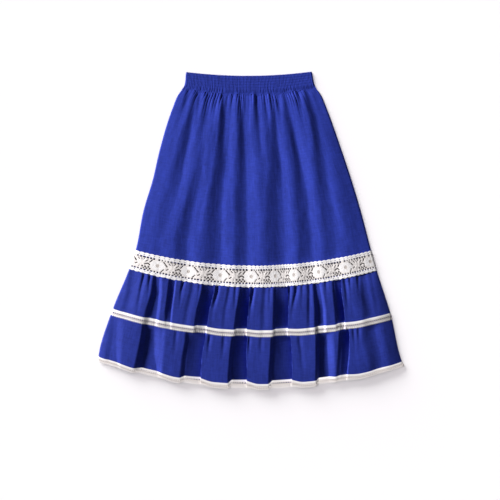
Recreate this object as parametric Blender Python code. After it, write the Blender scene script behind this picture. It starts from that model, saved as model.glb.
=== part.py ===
"""A prairie skirt laid flat on its back, in metres, with +Z up out of its front and its waist towards +Y.

The skirt is one tube of cloth: an elasticated waistband, a gathered body, a lace insertion band and two gathered
ruffles, each ruffle edged with a narrow lace trim. Every piece is a thin wall on one shared skin. A point of the skin
is given by its share across the skirt, from 0 at the left side seam to 1 at the right one, and by how far down the
centre line it lies from the top of the waistband.
"""

from collections import namedtuple

import bmesh
import bpy
import numpy as np

# Walls and gaps
CLOTH = 0.0012
LACE = 0.0012
WAISTBAND_WALL = 0.0026
SEAM_GAP = 0.0003
ROW_GAP = 0.0004

# Heights down the centre line where one piece ends and the next begins
WAISTBAND_BOTTOM = 0.0480
LACE_TOP = 0.4927
LACE_BOTTOM = 0.5494
BODY_EDGE = 0.5023
RUFFLE_1_EDGE = 0.5402
RUFFLE_TRIM_TOP = 0.6591
RUFFLE_SEAM = 0.6630
RUFFLE_TRIM_BOTTOM = 0.6772
HEM_TRIM_TOP = 0.7956
RUFFLE_2_EDGE = 0.8000
HEM_TRIM_BOTTOM = 0.8130

# The outline as it lies: the height of each side seam and its distance from the centre line.
Section = namedtuple("Section", "down left_x left_y right_x right_y")
SECTIONS = (
    Section(0.0000, -0.1682, 0.4129, 0.1581, 0.4139),
    Section(0.0480, -0.1763, 0.3705, 0.1690, 0.3715),
    Section(0.0700, -0.1898, 0.3510, 0.1820, 0.3510),
    Section(0.1030, -0.2028, 0.3198, 0.1950, 0.3198),
    Section(0.2184, -0.2366, 0.2106, 0.2340, 0.2106),
    Section(0.3007, -0.2548, 0.1326, 0.2600, 0.1326),
    Section(0.3830, -0.2782, 0.0546, 0.2834, 0.0546),
    Section(0.4927, -0.2990, -0.0494, 0.3112, -0.0507),
    Section(0.5494, -0.3156, -0.0988, 0.3258, -0.1030),
    Section(0.6591, -0.3580, -0.2018, 0.3609, -0.2129),
    Section(0.7956, -0.3955, -0.3250, 0.3910, -0.3383),
    Section(0.8130, -0.3965, -0.3380, 0.3965, -0.3515),
)
WAIST_TOP_Y = 0.4030

# The loft of the front: how high its ridges stand over its valleys.
Loft = namedtuple("Loft", "down height")
LOFTS = (
    Loft(0.0480, 0.0025),
    Loft(0.0650, 0.0065),
    Loft(0.1100, 0.0105),
    Loft(0.2500, 0.0110),
    Loft(0.4000, 0.0090),
    Loft(0.4927, 0.0060),
    Loft(0.5494, 0.0055),
    Loft(0.5800, 0.0110),
    Loft(0.6300, 0.0135),
    Loft(0.6630, 0.0115),
    Loft(0.7000, 0.0135),
    Loft(0.8130, 0.0150),
)

# The main valleys between the ridges: the share across at the top, middle and bottom of the piece that holds them,
# the part of the loft that they take away at its top and bottom, and half their width in metres.
Fold = namedtuple("Fold", "top middle bottom depth_top depth_bottom half_width")
BODY_FOLDS = (
    Fold(0.045, 0.045, 0.042, 0.45, 0.30, 0.008),
    Fold(0.124, 0.088, 0.080, 0.85, 0.45, 0.009),
    Fold(0.203, 0.204, 0.187, 0.75, 0.70, 0.010),
    Fold(0.320, 0.319, 0.313, 1.00, 0.80, 0.010),
    Fold(0.437, 0.430, 0.441, 1.00, 0.70, 0.010),
    Fold(0.525, 0.529, 0.530, 0.85, 0.00, 0.008),
    Fold(0.605, 0.616, 0.590, 0.85, 0.80, 0.012),
    Fold(0.722, 0.716, 0.704, 0.85, 0.75, 0.010),
    Fold(0.812, 0.800, 0.790, 0.60, 0.00, 0.008),
    Fold(0.885, 0.832, 0.814, 0.90, 0.60, 0.010),
    Fold(0.945, 0.947, 0.948, 0.45, 0.35, 0.008),
)
RUFFLE_1_FOLDS = (
    Fold(0.050, 0.044, 0.040, 0.45, 0.45, 0.010),
    Fold(0.145, 0.142, 0.137, 0.75, 0.80, 0.009),
    Fold(0.192, 0.190, 0.186, 0.80, 0.90, 0.008),
    Fold(0.269, 0.266, 0.262, 0.40, 0.35, 0.009),
    Fold(0.327, 0.332, 0.328, 0.95, 1.00, 0.012),
    Fold(0.372, 0.390, 0.404, 0.40, 0.45, 0.008),
    Fold(0.462, 0.468, 0.460, 0.95, 1.00, 0.011),
    Fold(0.541, 0.541, 0.541, 0.45, 0.40, 0.008),
    Fold(0.600, 0.605, 0.609, 0.95, 1.00, 0.014),
    Fold(0.652, 0.648, 0.645, 0.40, 0.30, 0.007),
    Fold(0.709, 0.707, 0.704, 0.50, 0.40, 0.008),
    Fold(0.745, 0.749, 0.750, 0.75, 0.80, 0.010),
    Fold(0.812, 0.819, 0.830, 0.90, 0.95, 0.011),
    Fold(0.919, 0.917, 0.914, 0.45, 0.50, 0.012),
)
RUFFLE_2_FOLDS = (
    Fold(0.033, 0.033, 0.033, 0.55, 0.55, 0.010),
    Fold(0.100, 0.090, 0.080, 0.35, 0.55, 0.008),
    Fold(0.151, 0.150, 0.149, 0.90, 0.95, 0.012),
    Fold(0.222, 0.219, 0.215, 0.50, 0.65, 0.008),
    Fold(0.282, 0.279, 0.276, 0.45, 0.45, 0.008),
    Fold(0.322, 0.318, 0.314, 0.90, 0.90, 0.010),
    Fold(0.457, 0.459, 0.462, 1.00, 1.00, 0.014),
    Fold(0.603, 0.603, 0.606, 1.00, 1.00, 0.018),
    Fold(0.668, 0.668, 0.668, 0.40, 0.30, 0.008),
    Fold(0.748, 0.742, 0.730, 0.80, 0.90, 0.012),
    Fold(0.822, 0.825, 0.840, 0.90, 0.95, 0.011),
    Fold(0.907, 0.908, 0.910, 0.45, 0.45, 0.014),
    Fold(0.972, 0.972, 0.972, 0.30, 0.30, 0.008),
)

# Small gathers that fan out of a seam: how many cross the front, their height, and how far down they are highest.
Gathers = namedtuple("Gathers", "seam count height reach")
GATHERS = (
    Gathers(WAISTBAND_BOTTOM, 21, 0.0016, 0.012),
    Gathers(LACE_BOTTOM, 21, 0.0016, 0.012),
    Gathers(RUFFLE_SEAM, 21, 0.0012, 0.018),
)

# The front lies on this base, which leaves the back panel and what is sewn to its outside their room.
FRONT_BASE = 0.0030
SIDE_ROUND = 0.022

# Towards the hem a ridge reaches further down than a valley, by a share of the height between them.
Swing = namedtuple("Swing", "down share")
SWINGS = (
    Swing(0.400, 0.00),
    Swing(0.550, 0.10),
    Swing(0.663, 0.25),
    Swing(0.730, 0.50),
    Swing(0.813, 0.80),
)
SWING_MIDDLE = 0.75

# The back rests flat. Its folds rise into the hollows under the front's ridges.
BACK_FOLD_SHARES = (0.146, 0.265, 0.382, 0.512, 0.668, 0.782, 0.880)
BACK_FOLD_HALF_WIDTH = 0.016
BACK_FOLD_RISE = 0.45
BACK_TRIM_LIFT = LACE + SEAM_GAP
BACK_TRIM_EASE = 0.012
SIDE_LIFT_WIDTH = 0.012

# The panels: their edges, and the rows between them where their walls bend.
Panel = namedtuple("Panel", "name top bottom front_rows back_rows")
PANELS = (
    Panel(
        "body",
        WAISTBAND_BOTTOM + ROW_GAP,
        BODY_EDGE,
        (0.060, 0.078, 0.120, 0.215, 0.350, LACE_TOP),
        (0.070, 0.120, 0.230, 0.350, LACE_TOP - BACK_TRIM_EASE, LACE_TOP),
    ),
    Panel(
        "ruffle_1",
        RUFFLE_1_EDGE,
        RUFFLE_SEAM - ROW_GAP / 2,
        (LACE_BOTTOM, 0.563, 0.596, RUFFLE_TRIM_TOP),
        (LACE_BOTTOM, LACE_BOTTOM + BACK_TRIM_EASE, 0.600, RUFFLE_TRIM_TOP - BACK_TRIM_EASE, RUFFLE_TRIM_TOP),
    ),
    Panel(
        "ruffle_2",
        RUFFLE_SEAM + ROW_GAP / 2,
        RUFFLE_2_EDGE,
        (RUFFLE_TRIM_BOTTOM, 0.700, 0.748, HEM_TRIM_TOP),
        (RUFFLE_TRIM_BOTTOM, RUFFLE_TRIM_BOTTOM + BACK_TRIM_EASE, 0.740, HEM_TRIM_TOP - BACK_TRIM_EASE, HEM_TRIM_TOP),
    ),
)

# How finely the walls are divided, and the steps to each side that a normal is taken over
FRONT_COLUMNS = 80
BACK_COLUMNS = 34
SIDE_BUNCHING = 0.06
SHARE_STEP = 0.004
DOWN_STEP = 0.002

# The waistband is one flattened ring, shirred on its front.
WAISTBAND_DEPTH = 0.0058
WAISTBAND_RIBS = 36
WAISTBAND_RIB_HEIGHT = 0.0009
WAISTBAND_ROWS = 3
WAISTBAND_BACK_COLUMNS = 24
WAISTBAND_SIDE_COLUMNS = 4

# The lace repeats a medallion and a four-leaf motif. Its largest gaps lie round the middle of each four-leaf motif.
LEAF_MOTIF_SHARES = (0.040, 0.169, 0.296, 0.428, 0.540, 0.626, 0.716, 0.823, 0.930)
LACE_GAP_ROW_SHARES = (0.33, 0.44, 0.56, 0.67)
LACE_SIDE_GAP_COLUMNS = 2

# Colours
BLUE = (0.035, 0.060, 0.400, 1.0)
CREAM = (0.820, 0.780, 0.730, 1.0)


def smooth_through(xs, ys, x):
    """A cubic through the points (xs, ys), whose slope at each point is that of its neighbours."""
    xs, ys = np.asarray(xs, float), np.asarray(ys, float)
    slopes = np.gradient(ys, xs)
    left = np.clip(np.searchsorted(xs, x, side="right") - 1, 0, len(xs) - 2)
    step = xs[left + 1] - xs[left]
    t = (x - xs[left]) / step
    return (
        ys[left] * (1 + 2 * t) * (1 - t) ** 2
        + ys[left + 1] * t**2 * (3 - 2 * t)
        + step * slopes[left] * t * (1 - t) ** 2
        - step * slopes[left + 1] * t**2 * (1 - t)
    )


def outline(down, column):
    return smooth_through([s.down for s in SECTIONS], [getattr(s, column) for s in SECTIONS], down)


def width(down):
    return outline(down, "right_x") - outline(down, "left_x")


def plan(share, down):
    """Where a point lies seen from above. Each row across the skirt sags in the middle along a parabola."""
    x = outline(down, "left_x") + width(down) * share
    left_y, right_y = outline(down, "left_y"), outline(down, "right_y")
    sag = (left_y + right_y) / 2 - (WAIST_TOP_Y - down)
    y = left_y + (right_y - left_y) * share - 4 * sag * share * (1 - share)
    return x, y


def loft(down):
    return smooth_through([p.down for p in LOFTS], [p.height for p in LOFTS], down)


def ease(low, high, value):
    """0 before low, 1 after high, and a smooth step between."""
    t = np.clip((value - low) / (high - low), 0, 1)
    return t * t * (3 - 2 * t)


def ridges(folds, start, end, share, down):
    """The part of the loft that the folds leave: 1 on a ridge, and down to 0 in a deep valley."""
    t = np.clip((down - start) / (end - start), 0, 1)
    left = np.ones(np.broadcast(share, down).shape)
    for fold in folds:
        centre = np.interp(t, (0, 0.5, 1), (fold.top, fold.middle, fold.bottom))
        depth = fold.depth_top + (fold.depth_bottom - fold.depth_top) * t
        away = (share - centre) * width(down) / fold.half_width
        left = left * (1 - depth / (1 + away**2))
    return left


def small_gathers(share, down):
    """Ripples below each gathered seam, which rise from it and fade as they fan out."""
    height = np.zeros(np.broadcast(share, down).shape)
    for gathers in GATHERS:
        below = np.maximum(down - gathers.seam, 0) / gathers.reach
        uneven = 0.75 + 0.25 * np.sin(17 * share + 40 * gathers.seam)
        rise = below * np.exp(1 - below)
        height = height + gathers.height * rise * uneven * np.cos(2 * np.pi * gathers.count * share)
    return height


def side_round(share, down):
    """0 at a side seam, rising as a quarter circle to 1 on the panel."""
    inward = np.minimum(share, 1 - share) * width(down) / SIDE_ROUND
    return np.sqrt(1 - (1 - np.clip(inward, 0, 1)) ** 2)


def front_height(share, down):
    """How high the front stands over its base. The folds change over where the lace and the ruffle seam are."""
    body = ridges(BODY_FOLDS, WAISTBAND_BOTTOM, LACE_TOP, share, down)
    ruffle_1 = ridges(RUFFLE_1_FOLDS, LACE_BOTTOM, RUFFLE_SEAM, share, down)
    ruffle_2 = ridges(RUFFLE_2_FOLDS, RUFFLE_SEAM, HEM_TRIM_BOTTOM, share, down)
    into_ruffle_1 = ease(LACE_TOP, LACE_BOTTOM, down)
    into_ruffle_2 = ease(RUFFLE_TRIM_TOP - 0.012, RUFFLE_TRIM_BOTTOM + 0.012, down)
    kept = (body * (1 - into_ruffle_1) + ruffle_1 * into_ruffle_1) * (1 - into_ruffle_2) + ruffle_2 * into_ruffle_2
    gathered = small_gathers(share, down) * np.minimum(1, 2 * kept)
    return side_round(share, down) * np.maximum(loft(down) * kept + gathered, 0)


def front_skin(share, down):
    """The inner face of the front."""
    x, y = plan(share, down)
    height = front_height(share, down)
    swing = np.interp(down, [s.down for s in SWINGS], [s.share for s in SWINGS])
    y = y - swing * (height - SWING_MIDDLE * loft(down)) * side_round(share, down)
    return np.stack(np.broadcast_arrays(x, y, FRONT_BASE + height), axis=-1)


def back_lift(share, down):
    """How high the outer face of the back stands over the surface it rests on."""
    trims = (
        (LACE_TOP, LACE_BOTTOM),
        (RUFFLE_TRIM_TOP, RUFFLE_TRIM_BOTTOM),
        (HEM_TRIM_TOP, HEM_TRIM_BOTTOM),
    )
    over_trim = sum(
        ease(top - BACK_TRIM_EASE, top - 0.001, down) * (1 - ease(bottom + 0.001, bottom + BACK_TRIM_EASE, down))
        for top, bottom in trims
    )
    inward = np.minimum(share, 1 - share) * width(down) / SIDE_LIFT_WIDTH
    at_side = (1 - np.clip(inward, 0, 1)) ** 2
    fold = 0
    for centre in BACK_FOLD_SHARES:
        away = np.clip(np.abs(share - centre) * width(down) / BACK_FOLD_HALF_WIDTH, 0, 1)
        fold = fold + (1 - away**2) ** 2
    nested = BACK_FOLD_RISE * front_height(share, down) * np.minimum(fold, 1)
    return BACK_TRIM_LIFT * np.maximum(over_trim, at_side) + nested


def back_skin(share, down):
    """The outer face of the back."""
    x, y = plan(share, down)
    return np.stack(np.broadcast_arrays(x, y, back_lift(share, down)), axis=-1)


def front_moved_out(share, down, away):
    """The front's inner face moved out along its normal, which comes from points a short way to each side."""
    across = front_skin(np.minimum(share + SHARE_STEP, 1), down) - front_skin(np.maximum(share - SHARE_STEP, 0), down)
    upward = front_skin(share, down - DOWN_STEP) - front_skin(share, down + DOWN_STEP)
    normal = np.cross(across, upward)
    return front_skin(share, down) + away * normal / np.linalg.norm(normal, axis=-1, keepdims=True)


def column_shares(columns):
    """Shares across the skirt, a little closer together towards the side seams."""
    even = np.linspace(0, 1, columns + 1)
    return even - SIDE_BUNCHING * np.sin(2 * np.pi * even) / (2 * np.pi)


def cloth_material(name, colour, roughness):
    material = bpy.data.materials.new(name)
    material.use_nodes = True
    shader = material.node_tree.nodes["Principled BSDF"]
    shader.inputs["Base Color"].default_value = colour
    shader.inputs["Roughness"].default_value = roughness
    shader.inputs["Metallic"].default_value = 0.0
    return material


def close_wall(name, lower, upper, material, gaps=(), ring=False):
    """A closed wall between two grids of points. gaps lists the (row, column) cells that are cut through, and a ring
    joins the last column to the first."""
    rows, columns = lower.shape[:2]
    cell_columns = columns if ring else columns - 1
    mesh = bmesh.new()
    below = [[mesh.verts.new(p) for p in row] for row in lower]
    above = [[mesh.verts.new(p) for p in row] for row in upper]
    kept = np.ones((rows - 1, cell_columns), bool)
    for row, column in gaps:
        kept[row, column] = False
    for row in range(rows - 1):
        for column in range(cell_columns):
            if not kept[row, column]:
                continue
            following = (column + 1) % columns
            corners = ((row, column), (row + 1, column), (row + 1, following), (row, following))
            mesh.faces.new([above[r][c] for r, c in corners])
            mesh.faces.new([below[r][c] for r, c in reversed(corners)])
            neighbours = ((row, column - 1), (row + 1, column), (row, column + 1), (row - 1, column))
            for side, (r, c) in enumerate(neighbours):
                inside = 0 <= r < rows - 1 and (ring or 0 <= c < cell_columns)
                if inside and kept[r, c % cell_columns]:
                    continue
                (r0, c0), (r1, c1) = corners[side], corners[(side + 1) % 4]
                mesh.faces.new([above[r1][c1], above[r0][c0], below[r0][c0], below[r1][c1]])
    bmesh.ops.delete(mesh, geom=[v for v in mesh.verts if not v.link_faces], context="VERTS")
    bmesh.ops.triangulate(mesh, faces=mesh.faces[:])
    if mesh.calc_volume(signed=True) < 0:
        bmesh.ops.reverse_faces(mesh, faces=mesh.faces[:])
    data = bpy.data.meshes.new(name)
    mesh.to_mesh(data)
    mesh.free()
    data.materials.append(material)
    data.shade_smooth()
    data.set_sharp_from_angle(angle=np.radians(50))
    made = bpy.data.objects.new(name, data)
    bpy.context.scene.collection.objects.link(made)
    return made


def front_panel(name, rows, material):
    share, down = np.meshgrid(column_shares(FRONT_COLUMNS), np.array(rows))
    close_wall(name, front_skin(share, down), front_moved_out(share, down, CLOTH), material)


def back_panel(name, rows, material):
    share, down = np.meshgrid(column_shares(BACK_COLUMNS), np.array(rows))
    outer = back_skin(share, down)
    close_wall(name, outer, outer + (0, 0, CLOTH), material)


def sewn_on_front(rows):
    """The two faces of what lies on the front: the panels' points moved out, and wrapped down round their sides."""
    share, down = np.meshgrid(column_shares(FRONT_COLUMNS), np.array(rows))
    faces = []
    for away in (CLOTH + SEAM_GAP, CLOTH + SEAM_GAP + LACE):
        face = front_moved_out(share, down, away)
        left, right = face[:, :1].copy(), face[:, -1:].copy()
        left[..., 2] = right[..., 2] = LACE + SEAM_GAP
        faces.append(np.concatenate([left, face, right], axis=1))
    return faces


def sewn_on_back(rows, shares):
    """The two faces of what lies under the back: flat on the surface, and as wide as the front piece's wrap."""
    share, down = np.meshgrid(shares, np.array(rows))
    x, y = plan(share, down)
    x = x + (2 * share - 1) * (CLOTH + SEAM_GAP + LACE)
    flat = np.stack([x, y, np.zeros_like(x)], axis=-1)
    return flat, flat + (0, 0, LACE)


def leaf_motif_gaps(shares):
    """The cells round each four-leaf motif that the lace leaves open: above, below, left and right of its middle.
    Rows are counted from the first one that bounds a gap."""
    gaps = []
    for centre in LEAF_MOTIF_SHARES:
        middle = int(np.searchsorted(shares, centre)) - 1
        gaps += [(0, middle), (2, middle)]
        for column in (middle - LACE_SIDE_GAP_COLUMNS, middle + LACE_SIDE_GAP_COLUMNS):
            if 0 <= column < len(shares) - 1:
                gaps.append((1, column))
    return gaps


def lace_bands(material):
    """The front band follows the panels that it is sewn to, and wraps round their sides. The flat back one needs
    no more columns than bound its gaps."""
    gap_rows = [LACE_TOP + (LACE_BOTTOM - LACE_TOP) * share for share in LACE_GAP_ROW_SHARES]
    shares = column_shares(FRONT_COLUMNS)
    gaps = leaf_motif_gaps(shares)
    inner, outer = sewn_on_front((LACE_TOP, BODY_EDGE, *gap_rows, RUFFLE_1_EDGE, LACE_BOTTOM))
    close_wall("lace_band_front", inner, outer, material, [(row + 2, column + 1) for row, column in gaps])
    kept = sorted({0, len(shares) - 1} | {column + side for _, column in gaps for side in (0, 1)})
    lower, upper = sewn_on_back((LACE_TOP, *gap_rows, LACE_BOTTOM), shares[kept])
    close_wall("lace_band_back", lower, upper, material, [(row + 1, kept.index(column)) for row, column in gaps])


def trims(material):
    back_shares = column_shares(BACK_COLUMNS)
    for name, rows in (
        ("ruffle_trim", (RUFFLE_TRIM_TOP, RUFFLE_SEAM, RUFFLE_TRIM_BOTTOM)),
        ("hem_trim", (HEM_TRIM_TOP, RUFFLE_2_EDGE, HEM_TRIM_BOTTOM)),
    ):
        close_wall(f"{name}_front", *sewn_on_front(rows), material)
        close_wall(f"{name}_back", *sewn_on_back(rows[::2], back_shares), material)


def waistband(material):
    """A flattened ring: a shirred front, a round end, a flat back and a round end."""
    radius = WAISTBAND_DEPTH / 2
    front = np.linspace(0, 1, 2 * WAISTBAND_RIBS + 1)
    back = np.linspace(1, 0, WAISTBAND_BACK_COLUMNS + 1)
    turn = np.linspace(0, np.pi, WAISTBAND_SIDE_COLUMNS + 1)[1:-1]
    share = np.concatenate([front, np.ones_like(turn), back, np.zeros_like(turn)])
    up, down_side = np.full_like(front, np.pi / 2), np.full_like(back, -np.pi / 2)
    angle = np.concatenate([up, np.pi / 2 - turn, down_side, -np.pi / 2 - turn])
    rib = np.zeros_like(share)
    rib[1 : 2 * WAISTBAND_RIBS : 2] = WAISTBAND_RIB_HEIGHT
    rows = np.linspace(0, WAISTBAND_BOTTOM, WAISTBAND_ROWS)
    faces = []
    for away, ribs in ((radius - WAISTBAND_WALL, 0 * rib), (radius, rib)):
        grid = []
        for down in rows:
            inset = (1 - 2 * share) * radius + away * np.cos(angle)
            x, y = plan(share + inset / width(down), np.full_like(share, down))
            grid.append(np.stack([x, y, radius + (away + ribs) * np.sin(angle)], axis=-1))
        faces.append(np.array(grid))
    inner, outer = faces
    close_wall("waistband", inner, outer, material, ring=True)


def main():
    for old in list(bpy.data.objects):
        bpy.data.objects.remove(old)
    cotton = cloth_material("blue_cotton", BLUE, 0.85)
    lace = cloth_material("cream_lace", CREAM, 0.90)
    waistband(cotton)
    for panel in PANELS:
        front_panel(f"{panel.name}_front", (panel.top, *panel.front_rows, panel.bottom), cotton)
        back_panel(f"{panel.name}_back", (panel.top, *panel.back_rows, panel.bottom), cotton)
    lace_bands(lace)
    trims(lace)


main()
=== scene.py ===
"""The looks of a blue cotton prairie skirt with cream lace, laid flat on a white table.

Every piece of cloth lies on one skin. A point of the skin is given by its share across the skirt, from 0 at
the left side seam to 1 at the right one, and by how far down the centre line it lies from the top of the
waistband. Both are arrays, so a whole piece is worked out at once. Lengths are in metres. The lace patterns
are drawn in millimetres.
"""

from collections import namedtuple

import bpy
import numpy as np
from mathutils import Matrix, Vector


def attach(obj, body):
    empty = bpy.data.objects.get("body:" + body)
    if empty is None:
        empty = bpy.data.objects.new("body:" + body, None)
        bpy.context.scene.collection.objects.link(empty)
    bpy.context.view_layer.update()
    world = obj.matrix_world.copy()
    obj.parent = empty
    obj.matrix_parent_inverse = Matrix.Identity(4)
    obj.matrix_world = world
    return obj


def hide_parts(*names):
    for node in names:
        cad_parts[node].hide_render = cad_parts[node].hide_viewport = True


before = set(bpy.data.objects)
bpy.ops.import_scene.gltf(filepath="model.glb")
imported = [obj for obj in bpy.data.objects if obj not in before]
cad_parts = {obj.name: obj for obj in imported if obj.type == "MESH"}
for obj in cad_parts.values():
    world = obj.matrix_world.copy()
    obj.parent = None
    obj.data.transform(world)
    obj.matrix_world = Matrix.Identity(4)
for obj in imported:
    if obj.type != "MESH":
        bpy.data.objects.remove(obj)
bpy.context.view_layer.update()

MM = 0.001

# Layers, counted outwards from the inner face of the front
CLOTH = 0.0012
COTTON = 0.0005
SEAM_GAP = 0.0003
LACE = 0.0012
LACE_BACKING = CLOTH + 0.0001
LACE_FACE = CLOTH + SEAM_GAP + 0.0010
BAND_CLEAR, TRIM_CLEAR = 0.0006, 0.0005
FRONT_BASE = 0.0030

# Heights down the centre line where one piece ends and the next begins
ROW_GAP = 0.0004
WAISTBAND_BOTTOM = 0.0480
LACE_TOP = 0.4927
LACE_BOTTOM = 0.5494
BODY_EDGE = 0.5038
RUFFLE_1_EDGE = 0.5392
RUFFLE_TRIM_TOP = 0.6591
RUFFLE_SEAM = 0.6630
RUFFLE_TRIM_BOTTOM = 0.6772
HEM_TRIM_TOP = 0.7956
RUFFLE_2_EDGE = 0.8000
HEM_TRIM_BOTTOM = 0.8130

# The outline as it lies: the height of each side seam and its distance from the centre line.
Section = namedtuple("Section", "down left_x left_y right_x right_y")
SECTIONS = (
    Section(0.0000, -0.1682, 0.4129, 0.1581, 0.4139),
    Section(0.0480, -0.1763, 0.3705, 0.1690, 0.3715),
    Section(0.0700, -0.1898, 0.3510, 0.1820, 0.3510),
    Section(0.1030, -0.2028, 0.3198, 0.1950, 0.3198),
    Section(0.2184, -0.2366, 0.2106, 0.2340, 0.2106),
    Section(0.3007, -0.2548, 0.1326, 0.2600, 0.1326),
    Section(0.3830, -0.2782, 0.0546, 0.2834, 0.0546),
    Section(0.4927, -0.2990, -0.0494, 0.3112, -0.0507),
    Section(0.5494, -0.3156, -0.0988, 0.3258, -0.1030),
    Section(0.6591, -0.3580, -0.2018, 0.3609, -0.2129),
    Section(0.7956, -0.3955, -0.3250, 0.3910, -0.3383),
    Section(0.8130, -0.3965, -0.3380, 0.3965, -0.3515),
)
WAIST_TOP_Y = 0.4030

# The loft of the front: how high its ridges stand over its valleys.
Loft = namedtuple("Loft", "down height")
LOFTS = (
    Loft(0.0480, 0.0030),
    Loft(0.0600, 0.0070),
    Loft(0.0800, 0.0090),
    Loft(0.1100, 0.0100),
    Loft(0.2500, 0.0110),
    Loft(0.4000, 0.0105),
    Loft(0.4927, 0.0090),
    Loft(0.5494, 0.0095),
    Loft(0.5800, 0.0160),
    Loft(0.6300, 0.0170),
    Loft(0.6630, 0.0165),
    Loft(0.7000, 0.0175),
    Loft(0.7850, 0.0175),
    Loft(0.8130, 0.0130),
)

# The valleys between the ridges, in millimetres as seen from above. Each has the place across of the left
# end of its floor, how wide the slope that falls to it is, how deep it is, how wide its floor is, and how
# wide the slope that rises from it is. A measure is one value, or one for each of the tier's heights. A
# short gather is a valley that is deep at the seam alone. Where the rise is narrow, the next ridge hangs a
# little over the floor.
Fold = namedtuple("Fold", "low fall drop floor rise")
BODY_HEIGHTS = (361, 330, 299, 242, 172, 94, -23)
BODY_FOLDS = (
    Fold(
        (-161, -170, -180, -203, -222, -243, -273), (11, 11, 15, 15, 18, 18, 18),
        (3.8, 4, 1.4, 0.6, 0.6, 0.6, 0.5), 0, 26,
    ),
    Fold(
        (-136, -144, -150, -160, -176, -193, -235), (15, 17, 18, 29, 33, 48, 32),
        (5.1, 4.4, 4.7, 5.4, 5.1, 3.8, 1.8), 0, 36,
    ),
    Fold((-131, -134, -138, -142, -150, -155, -160), 9, (3.8, 2.6, 0.9, 0, 0, 0, 0), 0, 13),
    Fold(
        (-108, -111, -114, -127, -124, -141, -166), (15, 17, 22, 22, 37, 33, 37),
        (5.1, 4.7, 4.9, 3, 2.1, 3.8, 4.8), 0, 34,
    ),
    Fold(
        (-88, -91, -96, -104, -110, -115, -120), (12, 12, 11, 11, 11, 11, 11),
        (3.8, 3.8, 0.9, 0, 0, 0, 0), 0, 16,
    ),
    Fold(
        (-71, -69, -66, -67, -65, -75, -79), (15, 15, 18, 22, 35, 40, 51),
        (5.5, 3.8, 4.7, 5.2, 6.2, 6, 5.8), 0, 40,
    ),
    Fold((-59, -61, -64, -66, -68, -70, -72), 9, (3.8, 2.6, 0.9, 0, 0, 0, 0), 0, 13),
    Fold((-44, -48, -52, -55, -58, -60, -62), 11, (3.8, 3.4, 0.9, 0, 0, 0, 0), 0, 15),
    Fold((-28, -25, -19, -13, -12, -13, -10), (14, 15, 22, 26, 36, 37, 40), (4.8, 3.7, 5, 6, 7, 6, 5), 0, 38),
    Fold((-13, -13, -12, -10, -8, -6, -4), 9, (3.8, 2.6, 0.9, 0, 0, 0, 0), 0, 13),
    Fold((-4, -4, -5, -6, -6, -6, -6), 8, (3.8, 2.6, 0.9, 0, 0, 0, 0), 0, 13),
    Fold((18, 18, 21, 23, 29, 34, 39), (15, 15, 18, 26, 26, 26, 26), (4.9, 4, 3.5, 2.8, 1.1, 0, 0), 0, 30),
    Fold((35, 39, 44, 47, 50, 55, 60), (11, 11, 15, 15, 15, 15, 15), (3.8, 3.8, 2.9, 1, 0, 0, 0), 0, 16),
    Fold((54, 57, 64, 68, 78, 80, 87), (14, 14, 16, 33, 37, 46, 57), (4.8, 3.6, 3.5, 6, 6.7, 7, 6.9), 0, 40),
    Fold((70, 73, 78, 85, 90, 95, 100), 11, (3.8, 3.8, 0.9, 0, 0, 0, 0), 0, 15),
    Fold(
        (87, 95, 102, 117, 131, 145, 158), (18, 18, 22, 36, 40, 46, 50),
        (5.1, 4.6, 5.2, 6.4, 6.6, 7, 5.7), 0, 38,
    ),
    Fold(
        (124, 128, 133, 146, 160, 170, 180), (15, 15, 15, 18, 18, 18, 18),
        (4.3, 3, 1.8, 0.6, 0, 0, 0), 0, 16,
    ),
    Fold(
        (147, 158, 170, 180, 192, 199, 219), (18, 22, 22, 22, 38, 40, 46),
        (5.1, 5.8, 5.5, 4.4, 5.1, 4.8, 3.4), 0, 36,
    ),
    Fold(
        (169, 178, 188, 208, 229, 259, 283), (14, 13, 15, 15, 15, 18, 22),
        (4.3, 2.7, 1.8, 0.7, 0.6, 0.9, 1), 0, 26,
    ),
)
RUFFLE_1_HEIGHTS = (-117, -159, -205, -247)
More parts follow.
